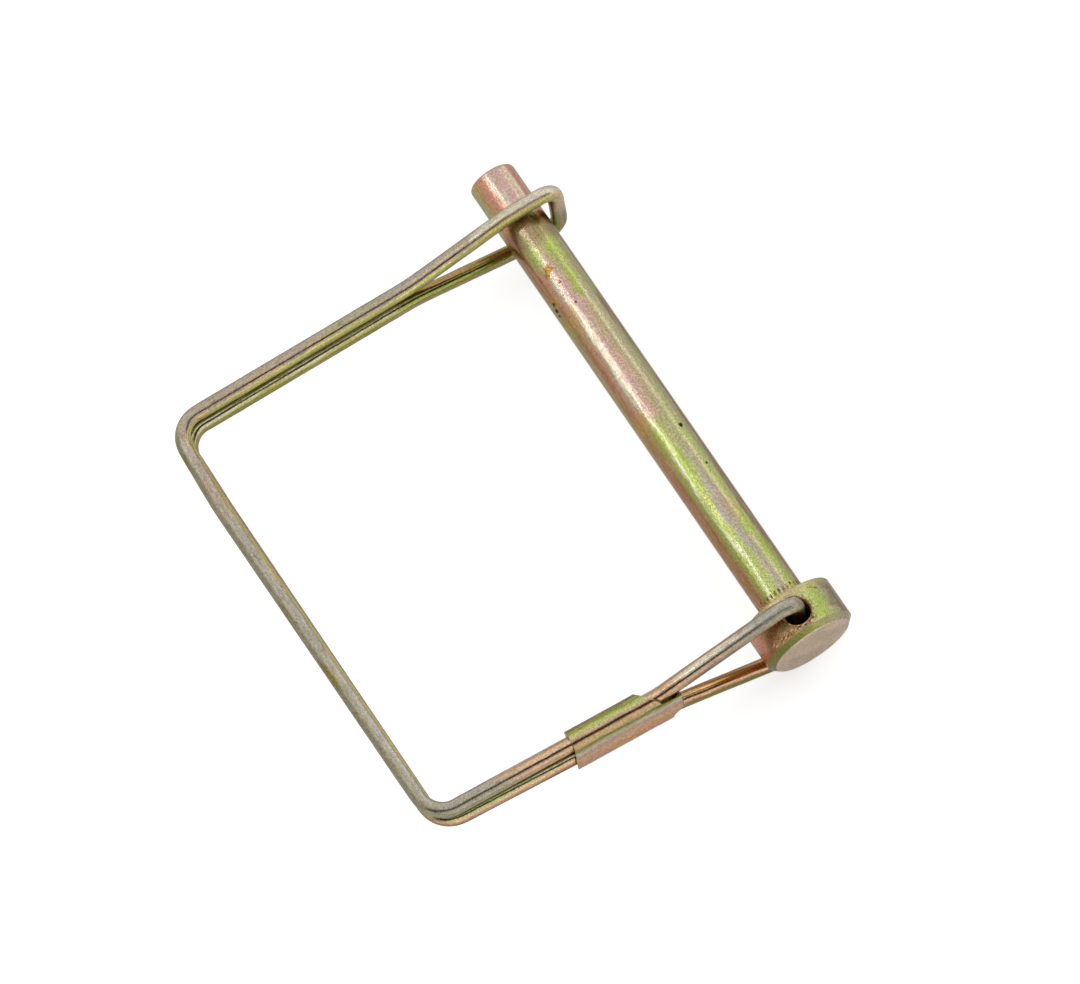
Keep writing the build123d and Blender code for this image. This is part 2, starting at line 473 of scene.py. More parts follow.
def make_burrs():
    """Ragged rims round both mouths of the cross hole, and loose flakes beside the front one."""
    points, faces = [], []

    def add(grid, rows, columns, closed_rows):
        """Adds a ring, or a lump with its two ends closed."""
        start = len(points)
        points.extend(grid)
        faces.extend(tuple(start + v for v in face) for face in grid_faces(rows, columns, True, closed_rows))
        if not closed_rows:
            faces.append(tuple(start + v for v in range(columns))[::-1])
            faces.append(tuple(start + (rows - 1) * columns + v for v in range(columns)))

    for side in (1, -1):
        grid = []
        for i in range(RIM_ROWS):
            angle = 2 * math.pi * i / RIM_ROWS
            ring = Vector((math.cos(angle), math.sin(angle), side * 3.0))
            rough = noise.noise(ring * 2.2) + 0.7 * noise.noise(ring * 7.0) + 0.5 * noise.noise(ring * 19.0)
            torn_side = 0.5 + 0.5 * math.cos(angle + TORN_TURN)
            rise = LEAST_RISE + MORE_RISE * max(0.0, rough + 0.35) * (0.4 + 0.6 * torn_side)
            width = LEAST_WIDTH + MORE_WIDTH * max(0.0, rough + 0.3)
            for j in range(RIM_SIDES):
                lap = 2 * math.pi * j / RIM_SIDES
                reach = RIM_R + width * math.cos(lap) * side
                proud = rise * math.sin(lap) - RIM_SINK
                grid.append(on_head(reach * math.cos(angle), hole_y + reach * math.sin(angle), proud, side))
        add(grid, RIM_ROWS, RIM_SIDES, True)
    for k, (x, y, length, width, lean) in enumerate(FLAKES):
        grid = []
        for i in range(FLAKE_ROWS):
            polar = math.pi * (i + 0.5) / FLAKE_ROWS
            for j in range(FLAKE_SIDES):
                lap = -2 * math.pi * j / FLAKE_SIDES
                flat = math.sin(polar)
                ball = Vector((flat * math.cos(lap), flat * math.sin(lap), math.cos(polar)))
                lump = 1 + FLAKE_LUMP * noise.noise(ball * 1.7 + Vector((k * 5.0, 0, 0)))
                along, across = ball.x * length * lump, ball.y * width * lump
                dx = along * math.cos(lean) - across * math.sin(lean)
                dy = along * math.sin(lean) + across * math.cos(lean)
                grid.append(on_head(x + dx, y + dy, ball.z * FLAKE_HEIGHT * lump))
        add(grid, FLAKE_ROWS, FLAKE_SIDES, False)
    return mesh_object("mouth_burrs", points, faces)


# ---------------------------------------------------------------- materials

def linear(colour):
    """A screen colour as the linear colour that a shader takes."""
    return (*[c / 12.92 if c <= 0.04045 else ((c + 0.055) / 1.055) ** 2.4 for c in colour], 1.0)


SALMON = linear((0.84, 0.63, 0.52))
CORAL = linear((0.89, 0.64, 0.54))
BLUSH = linear((0.82, 0.69, 0.64))
PEACH = linear((0.92, 0.76, 0.60))
TAN = linear((0.80, 0.69, 0.56))
SAND = linear((0.72, 0.67, 0.54))
CREAM = linear((0.88, 0.86, 0.76))
STRAW = linear((0.77, 0.74, 0.57))
LEMON = linear((0.78, 0.79, 0.53))
LIME = linear((0.68, 0.74, 0.36))
BRIGHT_LIME = linear((0.88, 0.88, 0.52))
MOSS = linear((0.68, 0.66, 0.38))
OLIVE = linear((0.56, 0.53, 0.30))
GOLD = linear((0.82, 0.66, 0.38))
COPPER = linear((0.74, 0.56, 0.40))
BROWN = linear((0.56, 0.42, 0.30))
MAROON = linear((0.50, 0.41, 0.33))
PALE_PINK = linear((0.97, 0.83, 0.72))
DULL_GOLD = linear((0.64, 0.54, 0.30))
IVORY = linear((0.93, 0.88, 0.78))
PALE_GOLD = linear((0.80, 0.73, 0.53))
ROSE_TAN = linear((0.86, 0.75, 0.62))
DARK_MOSS = linear((0.52, 0.53, 0.26))
YELLOW = linear((0.82, 0.76, 0.42))
# Dark brown of the painted shade inside the cross hole.
HOLE_SHADE = linear((0.52, 0.36, 0.22))
OCHRE = linear((0.76, 0.74, 0.40))
GREY = linear((0.70, 0.68, 0.62))
LILAC = linear((0.75, 0.72, 0.68))
SOOT = linear((0.16, 0.12, 0.09))
DIRT = linear((0.34, 0.23, 0.12))
RUST = linear((0.68, 0.52, 0.26))

NICK_COUNT = 33

# Patches of plating on the shank, as (where, size), and marks on it, as (where, size, colour). The
# green patches are longer than they are wide.
PATCH_SQUEEZE = 0.42
GREEN_PATCHES = [
    ((-1.6, 55.0, 2.75), 1.3), ((1.35, 54.4, 2.87), 1.25), ((1.2, 50.8, 2.9), 1.0),
    ((0.7, 48.2, 3.1), 0.7), ((1.5, 11.0, 2.8), 1.2), ((1.9, 7.0, 2.6), 1.2),
]
GOLD_PATCHES = [((-2.6, 29.0, 1.8), 2.4), ((-2.7, 45.5, 1.7), 2.0), ((-2.42, 48.6, 2.06), 1.4)]
SHANK_SPOTS = [
    ((-0.98, 52.5, 3.02), 0.72, RUST),
    ((1.72, 26.25, 2.67), 0.36, SOOT),
    ((1.69, 20.3, 2.69), 0.20, SOOT),
    ((-2.85, 47.8, 1.39), 0.40, SOOT),
    ((-2.72, 48.6, 1.64), 0.30, SOOT),
    ((-2.92, 47.1, 1.25), 0.28, DIRT),
    ((-1.45, 51.9, 2.82), 0.5, RUST),
    ((-0.6, 50.3, 3.1), 0.25, BROWN),
    ((-0.45, 46.9, 3.1), 0.18, DIRT),
]

# Patches on the head, as (where, size, how fine its rags are, where it starts to fade, colour), the
# worn ring round the cross hole's mouth and the scratch by the shoulder.
HEAD_PATCHES = [
    ((-1.2, hole_y - 1.6, 5.9), 1.9, 0.7, 0.6, BROWN),
    ((2.9, hole_y - 0.3, 5.4), 2.3, 0.8, 0.3, LIME),
]
WORN_RING = ((0.15, hole_y - 0.1, 0.0), 2.15, 2.6, 0.86)
SCRATCH_MIDDLE = (3.30, -1.12, 5.11)
SCRATCH_ALONG = (0.764, -0.430, -0.479)
SCRATCH_HALF = 0.8


class Finish:
    """The nodes of one material or of the world, with short calls for the kinds of node they need."""

    def __init__(self, name, kind="Material"):
        holders = bpy.data.worlds if kind == "World" else bpy.data.materials
        self.kind = kind
        self.holder = holders.new(name)
        self.holder.use_nodes = True
        self.tree = self.holder.node_tree
        self.tree.nodes.clear()

    def node(self, kind, values=(), output=0, **settings):
        """Makes a node; each value is a number, or another node's socket to link from."""
        made = self.tree.nodes.new("ShaderNode" + kind)
        for key, value in settings.items():
            setattr(made, key, value)
        for key, value in dict(values).items():
            if isinstance(value, bpy.types.NodeSocket):
                self.tree.links.new(value, made.inputs[key])
            else:
                made.inputs[key].default_value = value
        return made.outputs[output]

    def done(self, shader):
        """Puts the shader on the material or the world, and gives that back."""
        out = self.tree.nodes.new("ShaderNodeOutput" + self.kind)
        self.tree.links.new(shader, out.inputs["Surface"])
        return self.holder

    def place(self):
        """The place on a CAD node, in mm."""
        return self.scaled(self.node("TexCoord", output=3), (1 / MM, 1 / MM, 1 / MM))

    def lie(self):
        """The place along and round a piece that was bent or folded, in mm."""
        return self.node("Attribute", output=1, attribute_name="lie", attribute_type="GEOMETRY")

    def math(self, operation, a, b=0.0):
        return self.node("Math", {0: a, 1: b}, operation=operation)

    def plus(self, a, b):
        return self.math("ADD", a, b)

    def minus(self, a, b):
        return self.math("SUBTRACT", a, b)

    def times(self, a, b):
        return self.math("MULTIPLY", a, b)

    def off(self, value, middle):
        """How far a value is from the middle one."""
        return self.math("ABSOLUTE", self.minus(value, middle))

    def scaled(self, vector, factors):
        return self.node("VectorMath", {0: vector, 1: factors}, operation="MULTIPLY")

    def moved(self, vector, offset):
        return self.node("VectorMath", {0: vector, 1: offset}, operation="ADD")

    def length(self, vector):
        return self.node("VectorMath", {0: vector}, output=1, operation="LENGTH")

    def parts(self, vector):
        made = self.tree.nodes.new("ShaderNodeSeparateXYZ")
        self.tree.links.new(vector, made.inputs[0])
        return made.outputs

    def noise(self, vector, pitch, detail=3.0, roughness=0.5, offset=None):
        """Soft noise. pitch is how fine it is, as one number or one for each axis."""
        factors = pitch if isinstance(pitch, tuple) else (pitch, pitch, pitch)
        at = self.scaled(vector, factors)
        if offset is not None:
            at = self.moved(at, offset)
        return self.node("TexNoise", {"Vector": at, "Scale": 1.0, "Detail": detail, "Roughness": roughness})

    def spread(self, value, low, high, to_low=0.0, to_high=1.0):
        """value from low to high, as to_low to to_high, with soft ends."""
        values = {0: value, 1: low, 2: high, 3: to_low, 4: to_high}
        return self.node("MapRange", values, interpolation_type="SMOOTHSTEP")

    def fade(self, value, low, high, most=1.0):
        """most up to low, falling to 0 at high."""
        return self.spread(value, low, high, most, 0.0)

    def sway(self, noise, most, low=0.2):
        """Noise as a shift of up to most either way, which it reaches at low and at 1 - low."""
        return self.spread(noise, low, 1 - low, -most, most)

    def between(self, value, rise, fall):
        """1 between two soft edges, each given by where it starts and ends."""
        return self.times(self.spread(value, *rise), self.fade(value, *fall))

    def mix(self, share, a, b):
        return self.node("Mix", {0: share, 6: a, 7: b}, output=2, data_type="RGBA")

    def laid(self, colour, tint, mask, most):
        """The colour with a tint laid over it where the mask is, by most at the most."""
        return self.mix(self.times(mask, most), colour, tint)

    def ramp(self, share, stops):
        """Bands of colour, each from its place, that run into one another."""
        made = self.tree.nodes.new("ShaderNodeValToRGB")
        band = made.color_ramp
        while len(band.elements) < len(stops):
            band.elements.new(0.5)
        for element, (place, colour) in zip(band.elements, stops):
            element.position = place
            element.color = colour
        self.tree.links.new(share, made.inputs[0])
        return made.outputs[0]


def plate(finish, colour, along, across, roughness, dent, hole_shade=None):
    """Joins a colour to the metal shader, with plating grain, pits and drawn scratches. along is stretched
    with the metal's length, across isn't. The last argument is 1 where painted shade goes: a dull dark brown
    diffuse that stands in for the shade inside the cross hole."""
    coarse = finish.noise(across, 3.2, 4.0, 0.6)
    fine = finish.noise(across, 9.0, 3.0, 0.6)
    scratch = finish.noise(along, 11.0, 2.0, 0.5)
    speckle = finish.noise(across, 5.5, 2.0, 0.7, offset=(3.1, 8.7, 2.2))
    pits = finish.spread(finish.noise(across, 5.0, 2.0, 0.5), 0.62, 0.74)
    shade = finish.spread(coarse, 0.25, 0.75, 0.86, 1.08)
    shade = finish.times(shade, finish.spread(scratch, 0.3, 0.7, 0.90, 1.06))
    shade = finish.times(shade, finish.spread(speckle, 0.38, 0.62, 0.80, 1.16))
    shade = finish.times(shade, finish.spread(pits, 0.0, 1.0, 1.0, 0.60))
    toned = finish.node("VectorMath", {0: colour, 3: shade}, operation="SCALE")
    rough = finish.plus(roughness, finish.spread(fine, 0.2, 0.8, -0.05, 0.07))
    rough = finish.plus(rough, finish.times(pits, 0.2))
    height = finish.plus(finish.times(coarse, 0.7), finish.times(fine, 0.40))
    height = finish.plus(height, finish.times(scratch, 0.25))
    height = finish.minus(height, finish.times(pits, 0.5))
    normal = finish.node("Bump", {"Strength": 1.0, "Distance": dent * MM, "Height": height})
    shader = finish.node("BsdfPrincipled", {
        "Base Color": toned,
        "Metallic": 1.0,
        "Roughness": rough,
        "Coat Weight": 0.25,
        "Coat Roughness": 0.12,
        "Normal": normal,
    })
    # Painted shade: a dull dark brown diffuse where the mask is, for the shade inside the cross hole.
    if hole_shade is not None:
        dull = finish.node("BsdfDiffuse", {"Color": HOLE_SHADE, "Roughness": 0.5, "Normal": normal})
        shader = finish.node("MixShader", {0: hole_shade, 1: shader, 2: dull})
    return finish.done(shader)


def share_of_turn(finish, across, ahead):
    """An angle as a share of a turn: 0.5 straight ahead, 0.75 across."""
    return finish.plus(finish.math("DIVIDE", finish.math("ARCTAN2", across, ahead), 2 * math.pi), 0.5)


def turn_about_y(finish, place):
    """Share of a turn about the pin: 0.25 on the -X side, 0.5 in front, 0.75 on the +X side."""
    x, _, z = finish.parts(place)
    return share_of_turn(finish, x, z)


def spot_mask(finish, place, spot, size, pitch=4.0, edge=0.6):
    """1 on a ragged spot of that size, 0 elsewhere. pitch is how fine its rags are, and edge is the
    share of its size where it starts to fade."""
    ragged = finish.noise(place, pitch, 2.0, 0.6)
    apart = finish.node("VectorMath", {0: place, 1: spot}, output=1, operation="DISTANCE")
    apart = finish.plus(apart, finish.sway(ragged, 0.3 * size, 0.3))
    return finish.fade(apart, edge * size, size)


def scratch_mask(finish, place, middle, direction, half_length):
    """1 along a thin jagged scratch."""
    offset = finish.moved(place, [-c for c in middle])
    ragged = finish.noise(place, 3.0, 3.0, 0.7)
    across = finish.node("VectorMath", {0: offset, 1: direction}, operation="CROSS_PRODUCT")
    apart = finish.plus(finish.length(across), finish.sway(ragged, 0.12, 0.3))
    ends = finish.fade(finish.length(offset), half_length * 0.9, half_length * 1.1)
    return finish.times(finish.fade(apart, 0.03, 0.12), ends)


def bore_mask(finish, place):
    """1 on the walls of the cross hole, where painted shade goes."""
    x, y, _ = finish.parts(place)
    squares = finish.plus(finish.math("POWER", finish.minus(y, hole_y), 2.0), finish.times(x, x))
    return finish.fade(finish.math("SQRT", squares), HOLE_R + 0.01, HOLE_R + 0.05)


def nick_mask(finish, place, y, ragged):
    """1 in the short nicks on the shank beside the shoulder."""
    tick = finish.math("FRACT", finish.times(turn_about_y(finish, place), NICK_COUNT))
    tick = finish.fade(finish.off(tick, 0.5), 0.14, 0.34)
    ring = finish.fade(finish.off(y, finish.spread(ragged, 0.3, 0.7, 0.9, 1.5)), 0.15, 0.42)
    return finish.times(finish.times(ring, tick), finish.spread(ragged, 0.40, 0.54))


def shank_finish():
    """Long bands of plating colour, pink and grey towards the tip and green towards the head, with painted
    shade and a painted highlight among the bands.
    """
    finish = Finish("plated_shank")
    place = finish.place()
    along = finish.scaled(place, (1.0, 0.07, 1.0))
    _, y, _ = finish.parts(place)
    wobble = finish.noise(place, (0.35, 0.12, 0.35), 3.0, 0.55)
    streak = finish.noise(along, 1.6, 3.0, 0.6)
    shift = finish.plus(finish.sway(wobble, 0.022), finish.sway(streak, 0.014, 0.25))
    turned = finish.plus(turn_about_y(finish, place), shift)
    # Painted light in these bands: the cream band at 0.434 to 0.465 is partly a painted highlight under the
    # key bar's reflection, and the maroon and brown bands by the +X edge, at 0.668 to 0.75, are painted
    # shade.
    tip = finish.ramp(turned, [
        (0.0, TAN), (0.15, SALMON), (0.27, MOSS), (0.311, STRAW), (0.35, GOLD), (0.385, SALMON),
        (0.43, CORAL), (0.465, CREAM), (0.49, BLUSH), (0.54, BLUSH), (0.57, TAN), (0.60, CREAM),
        (0.625, CORAL), (0.67, SALMON), (0.75, MAROON), (0.85, SALMON), (1.0, TAN),
    ])
    middle = finish.ramp(turned, [
        (0.0, OLIVE), (0.12, SALMON), (0.25, MOSS), (0.295, TAN), (0.33, COPPER), (0.385, SALMON),
        (0.42, TAN), (0.437, CREAM), (0.468, BLUSH), (0.49, BLUSH), (0.52, TAN), (0.545, SAND),
        (0.57, STRAW), (0.60, SAND), (0.637, STRAW), (0.668, BROWN), (0.72, COPPER),
        (0.78, SALMON), (0.86, SAND), (1.0, OLIVE),
    ])
    lower = finish.ramp(turned, [
        (0.0, OLIVE), (0.12, MOSS), (0.24, SALMON), (0.31, COPPER), (0.355, COPPER), (0.388, MOSS),
        (0.415, LIME), (0.434, CREAM), (0.455, LIME), (0.49, LEMON), (0.512, LILAC), (0.538, SAND),
        (0.565, STRAW), (0.60, LIME), (0.637, STRAW), (0.668, BROWN), (0.72, COPPER),
        (0.78, TAN), (0.86, MOSS), (1.0, OLIVE),
    ])
    drift = finish.plus(y, finish.sway(wobble, 7.0))
    colour = finish.mix(finish.spread(drift, 20.0, 34.0), lower, middle)
    cloudy = finish.noise(place, (0.16, 0.09, 0.16), 2.0, 0.5, offset=(7.3, 1.1, 4.2))
    colour = finish.mix(finish.spread(cloudy, 0.52, 0.72, 0.0, 0.5), colour, LIME)
    colour = finish.mix(finish.fade(cloudy, 0.26, 0.48, 0.4), colour, SALMON)
    lengthwise = finish.scaled(place, (1.0, PATCH_SQUEEZE, 1.0))
    for (x, y_mid, z), size in GREEN_PATCHES:
        patch = spot_mask(finish, lengthwise, (x, y_mid * PATCH_SQUEEZE, z), size, 1.6, 0.35)
        colour = finish.laid(colour, LIME, patch, 0.85)
    for spot, size in GOLD_PATCHES:
        patch = spot_mask(finish, place, spot, size, 0.9, 0.2)
        colour = finish.laid(colour, GOLD, patch, 0.7)
    colour = finish.mix(finish.spread(y, UPPER_Y - 2.0, UPPER_Y + 1.0), colour, tip)
    cloud = finish.noise(place, 0.7, 4.0, 0.6)
    tip_face = finish.mix(finish.spread(cloud, 0.40, 0.62), SALMON, TAN)
    colour = finish.mix(finish.spread(y, tip_y - 0.30, tip_y - 0.08), colour, tip_face)
    # Painted shadow: a brown band round the shank just short of the wire loop, where the loop shades it.
    out_of_loop_shadow = finish.spread(finish.off(y, UPPER_Y - 2.6), 0.8, 2.6)
    colour = finish.laid(colour, BROWN, finish.minus(1.0, out_of_loop_shadow), 0.5)
    ragged = finish.noise(place, 2.6, 3.0, 0.6)
    colour = finish.mix(finish.fade(y, 0.3, 2.2, 0.45), colour, GOLD)
    colour = finish.laid(colour, DIRT, nick_mask(finish, place, y, ragged), 0.9)
    for spot, size, tint in SHANK_SPOTS:
        colour = finish.mix(spot_mask(finish, place, spot, size), colour, tint)
    # Painted shade on the walls of the cross hole.
    hole_shade = bore_mask(finish, place)
    return plate(finish, colour, along, place, roughness=0.13, dent=0.022, hole_shade=hole_shade)


def head_finish():
    """Green on one side and copper on the other, with a gold shoulder, a pale end face and a painted
    highlight along the end face's edge.
    """
    finish = Finish("plated_head")
    place = finish.place()
    along = finish.scaled(place, (1.0, 0.3, 1.0))
    _, y, _ = finish.parts(place)
    wobble = finish.noise(place, 0.45, 4.0, 0.6)
    turned = finish.plus(turn_about_y(finish, place), finish.sway(wobble, 0.03))
    side = finish.ramp(turned, [
        (0.0, OLIVE), (0.12, COPPER), (0.24, SALMON), (0.32, CORAL), (0.36, COPPER), (0.42, COPPER),
        (0.46, PALE_GOLD), (0.51, TAN), (0.55, LEMON), (0.59, LIME), (0.63, STRAW), (0.66, MAROON),
        (0.72, COPPER), (0.78, SALMON), (0.86, MOSS), (1.0, OLIVE),
    ])
    shoulder = finish.plus(y, finish.sway(wobble, 0.5))
    colour = finish.mix(finish.spread(shoulder, -1.6, -0.3, 0.0, 0.7), side, PALE_GOLD)
    cloud = finish.noise(place, 0.42, 4.0, 0.6)
    shoulder_face = finish.mix(finish.spread(cloud, 0.40, 0.62), PALE_GOLD, STRAW)
    colour = finish.mix(finish.spread(y, -0.25, -0.05), colour, shoulder_face)
    for spot, size, pitch, edge, tint in HEAD_PATCHES:
        colour = finish.laid(colour, tint, spot_mask(finish, place, spot, size, pitch, edge), 0.6)
    through = finish.scaled(place, (1.0, 1.0, 0.0))
    colour = finish.laid(colour, BROWN, spot_mask(finish, through, *WORN_RING), 0.6)
    chamfer = finish.ramp(turned, [
        (0.0, SAND), (0.27, OLIVE), (0.36, DARK_MOSS), (0.46, DARK_MOSS), (0.54, MOSS), (0.60, STRAW),
        (0.68, SAND), (1.0, SAND),
    ])
    colour = finish.mix(finish.fade(y, head_end_y + 0.74, head_end_y + 0.86), colour, chamfer)
    end_face = finish.mix(finish.spread(cloud, 0.40, 0.66), PALE_PINK, ROSE_TAN)
    colour = finish.mix(finish.fade(y, head_end_y + 0.02, head_end_y + 0.05), colour, end_face)
    # Painted highlight: a thin ivory line along the edge between the chamfer and the end face.
    colour = finish.mix(finish.fade(finish.off(y, head_end_y + 0.06), 0.02, 0.07, 0.6), colour, IVORY)
    scratch = scratch_mask(finish, place, SCRATCH_MIDDLE, SCRATCH_ALONG, SCRATCH_HALF)
    colour = finish.laid(colour, DIRT, scratch, 0.8)
    # Painted shade on the walls of the cross hole.
    hole_shade = bore_mask(finish, place)
    return plate(finish, colour, along, place, roughness=0.26, dent=0.02, hole_shade=hole_shade)


def burr_finish():
    """Torn metal: gold flakes, brown in the hollows."""
    finish = Finish("plated_burrs")
    place = finish.place()
    cloud = finish.noise(place, 2.8, 4.0, 0.6)
    tone = finish.ramp(cloud, [(0.30, DIRT), (0.40, COPPER), (0.48, GOLD), (0.58, PEACH), (0.68, IVORY)])
    x, _, _ = finish.parts(place)
    colour = finish.mix(finish.spread(x, 0.4, 1.4, 0.0, 0.75), tone, DIRT)
    return plate(finish, colour, place, place, roughness=0.24, dent=0.02)


# Bands of colour round the wire, as (share of a turn, colour): 0.25 faces into the square, 0.5 the front and
# 0.75 out of the square. A set holds from where it starts, in mm from the wire's end. The olive bands
# towards the strands' edges and backs are painted shade.
FORK_START = 13.0
FERRULE_START = 24.0
LOWER_ARM_START = 49.0
OUTER_ARM_START = 60.0
UPPER_ARM_START = 115.0
REAR_LOOP_START = 148.0
LOOP_START = 162.0
LOOP_END_START = 174.0
BAND_BLEND = 1.5

# On the outer arm the ivory and yellow bands at 0.29 to 0.33 are a painted reflection of the floor, the
# lilac band at 0.43 to 0.49 a painted soft highlight and the olive band at 0.58 to 0.66 painted shade.
OUTER_ARM = [
    (0.0, OLIVE), (0.10, MOSS), (0.16, TAN), (0.25, COPPER), (0.29, IVORY), (0.33, YELLOW),
    (0.37, BRIGHT_LIME), (0.40, SAND), (0.43, LILAC), (0.49, LILAC), (0.53, SAND), (0.58, OLIVE),
    (0.66, OLIVE), (0.74, SAND), (0.85, OLIVE),
]
FRONT_BANDS = {
    0.0: [(0.0, OLIVE), (0.25, MOSS), (0.32, GREY), (0.42, LILAC), (0.50, LILAC), (0.58, GREY),
          (0.66, STRAW), (0.72, TAN), (0.80, OLIVE), (1.0, OLIVE)],
    FORK_START: [
        (0.0, OLIVE), (0.25, BROWN), (0.35, COPPER), (0.42, TAN), (0.47, IVORY), (0.53, IVORY),
        (0.58, TAN), (0.65, PEACH), (0.71, BROWN), (0.80, BROWN), (1.0, OLIVE)],
    FERRULE_START: [
        (0.0, OLIVE), (0.27, OLIVE), (0.31, IVORY), (0.36, CREAM), (0.42, COPPER), (0.47, PEACH),
        (0.52, PEACH), (0.57, BROWN), (0.62, PEACH), (0.68, PEACH), (0.75, PEACH), (0.81, MOSS),
        (1.0, OLIVE)],
    LOWER_ARM_START: [
        (0.0, OLIVE), (0.27, OLIVE), (0.31, SAND), (0.36, GREY), (0.42, LILAC), (0.47, SAND),
        (0.52, GREY), (0.57, DULL_GOLD), (0.62, SAND), (0.68, STRAW), (0.75, SAND), (0.81, MOSS),
        (1.0, OLIVE)],
    OUTER_ARM_START: OUTER_ARM,
    UPPER_ARM_START: [
        (0.0, OLIVE), (0.20, OLIVE), (0.29, MOSS), (0.335, BRIGHT_LIME), (0.375, BRIGHT_LIME),
        (0.41, TAN), (0.47, TAN), (0.52, TAN), (0.58, SAND), (0.64, SAND), (0.70, STRAW),
        (0.80, OLIVE), (1.0, OLIVE)],
    # The ivory band at 0.49 to 0.56 on the loop is partly a painted highlight.
    LOOP_START: [
        (0.0, OLIVE), (0.20, MOSS), (0.30, LEMON), (0.38, YELLOW), (0.44, TAN), (0.49, IVORY),
        (0.56, IVORY), (0.62, CREAM), (0.72, TAN), (0.85, OLIVE), (1.0, OLIVE)],
    LOOP_END_START: [
        (0.0, PEACH), (0.20, IVORY), (0.38, PEACH), (0.52, IVORY), (0.68, PEACH), (0.80, STRAW),
        (1.0, PEACH)],
}
REAR_BANDS = {
    0.0: [(0.0, COPPER), (0.06, GOLD), (0.14, COPPER), (0.30, OLIVE), (0.50, STRAW), (0.70, MOSS),
          (0.78, LIME), (0.85, OLIVE), (0.90, COPPER), (0.94, PEACH), (0.975, COPPER), (1.0, COPPER)],
    FERRULE_START: [
        (0.0, CREAM), (0.05, OLIVE), (0.12, TAN), (0.30, SAND), (0.50, STRAW), (0.64, OLIVE),
        (0.72, BROWN), (0.81, BROWN), (0.86, SALMON), (0.90, PEACH), (0.94, PEACH), (0.97, LEMON)],
    OUTER_ARM_START: OUTER_ARM,
    # On the rear strand of the upper arm the ivory and cream bands at 0.035 and 0.115 are painted light in
    # the shade between the strands, and the olive band at 0.075 is a painted shadow of the front strand.
    UPPER_ARM_START: [
        (0.0, SAND), (0.035, IVORY), (0.075, OLIVE), (0.115, CREAM), (0.16, OCHRE), (0.21, MOSS),
        (0.25, MOSS), (0.30, OLIVE), (0.50, STRAW), (0.70, MOSS), (0.90, SAND), (1.0, SAND)],
    REAR_LOOP_START: [
        (0.0, DULL_GOLD), (0.05, DULL_GOLD), (0.10, OLIVE), (0.17, LIME), (0.21, MOSS), (0.26, TAN),
        (0.35, OLIVE), (0.50, STRAW), (0.75, OLIVE), (0.90, MOSS), (1.0, DULL_GOLD)],
}


def banded_wire(finish, turned, drift, bands):
    """One set of bands after another along a strand."""
    first, *later = bands.items()
    colour = finish.ramp(turned, first[1])
    for start, stops in later:
        reached = finish.spread(drift, start - BAND_BLEND, start + BAND_BLEND)
        colour = finish.mix(reached, colour, finish.ramp(turned, stops))
    return colour


def wire_finish():
    """Colour bands round the wire that change along it, with painted shade, highlights and reflections among
    them, worn to grey on the side that rubs.
    """
    finish = Finish("plated_wire")
    lie = finish.lie()
    along = finish.scaled(lie, (1.0, 1.0, 0.09))
    away, out, run = finish.parts(finish.scaled(lie, (1 / WIRE_R, 1 / WIRE_R, 1.0)))
    from_end = finish.math("MINIMUM", run, finish.minus(WIRE_LENGTH, run))
    is_rear = finish.spread(run, WIRE_LENGTH / 2 - 2.0, WIRE_LENGTH / 2 + 2.0)
    wobble = finish.noise(lie, (0.5, 0.5, 0.14), 3.0, 0.6)
    turn = share_of_turn(finish, out, away)
    turned = finish.math("FRACT", finish.plus(turn, finish.sway(wobble, 0.035)))
    drift = finish.plus(from_end, finish.sway(wobble, 3.0))
    front = banded_wire(finish, turned, drift, FRONT_BANDS)
    rear = banded_wire(finish, turned, drift, REAR_BANDS)
    colour = finish.mix(is_rear, front, rear)
    hue = finish.noise(lie, (0.25, 0.25, 0.06), 3.0, 0.5)
    colour = finish.mix(finish.fade(hue, 0.33, 0.44, 0.35), colour, SALMON)
    colour = finish.mix(finish.spread(hue, 0.58, 0.68, 0.0, 0.35), colour, LIME)
    rubbed = finish.plus(finish.times(away, 0.8), finish.times(out, 0.5))
    patchy = finish.sway(finish.noise(lie, (0.6, 0.6, 0.2), 4.0, 0.6), 0.6, 0.25)
    worn = finish.spread(finish.plus(rubbed, patchy), 0.3, 0.8)
    sheltered = finish.between(drift, (14.0, 26.0), (42.0, 52.0))
    worn = finish.times(worn, finish.spread(sheltered, 0.0, 1.0, 1.0, 0.25))
    worn = finish.times(worn, finish.spread(from_end, 156.0, 168.0, 1.0, 0.4))
    colour = finish.laid(colour, GREY, worn, 0.6)
    mottle = finish.spread(finish.noise(lie, (2.4, 2.4, 1.3), 3.0, 0.6), 0.52, 0.68)
    colour = finish.laid(colour, BROWN, finish.times(mottle, worn), 0.45)
    roughness = finish.spread(worn, 0.0, 1.0, 0.13, 0.24)
    roughness = finish.plus(roughness, finish.fade(from_end, 8.0, 16.0, 0.16))
    roughness = finish.plus(roughness, finish.spread(from_end, 158.0, 170.0, 0.0, 0.17))
    on_outer = finish.between(from_end, (58.0, 66.0), (110.0, 118.0))
    roughness = finish.plus(roughness, finish.times(on_outer, 0.16))
    return plate(finish, colour, along, lie, roughness=roughness, dent=0.014)


